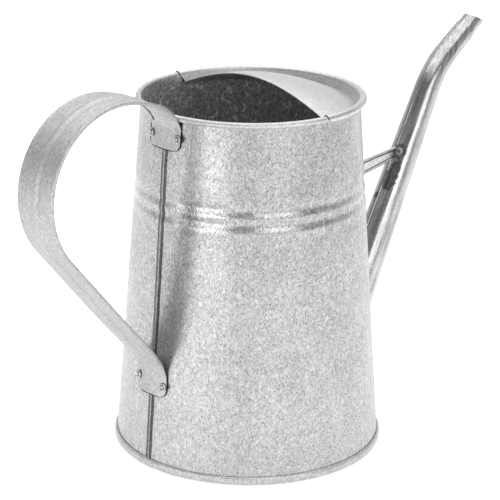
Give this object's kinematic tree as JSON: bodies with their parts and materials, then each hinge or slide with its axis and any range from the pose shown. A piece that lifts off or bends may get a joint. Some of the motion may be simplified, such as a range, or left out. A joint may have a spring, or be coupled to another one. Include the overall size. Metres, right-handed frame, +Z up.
{
  "type": "watering can",
  "caption": "Galvanised sheet-steel watering can with a conical body, half hood over the mouth, riveted strap handle and a long bent spout held by a brace.",
  "frame": {"origin": "centre of the bounding box at the floor, under the can", "axes": "+X towards the spout tip with the handle on -X, +Y across, +Z up; it stands on z = 0 and the body's own axis is at x = -0.0211"},
  "size_m": [0.3705, 0.165, 0.2368],
  "materials": {
    "body_sheet": "galvanised, fine spangle",
    "wire": "plain drawn wire",
    "base_sheet": "galvanised, fine spangle",
    "hood_sheet": "galvanised, fine spangle",
    "handle_sheet": "galvanised, fine spangle",
    "rivets": "zinc plated",
    "spout_sheet": "bright zinc, drawn streaks along its length",
    "brace_sheet": "bright zinc",
    "solder": "dull heat-darkened solder"
  },
  "bodies": {
    "root": {"body_wall": "body_sheet", "rim_wire": "wire", "base_pan": "base_sheet", "pouring_hood": "hood_sheet", "handle_strap": "handle_sheet", "rivet_upper_far": "rivets", "rivet_upper_near": "rivets", "rivet_lower_far": "rivets", "rivet_lower_near": "rivets", "spout_tube": "spout_sheet", "spout_root_solder": "solder", "spout_brace": "brace_sheet", "brace_spout_solder": "solder", "brace_wall_solder": "solder"}
  },
  "joints": []
}
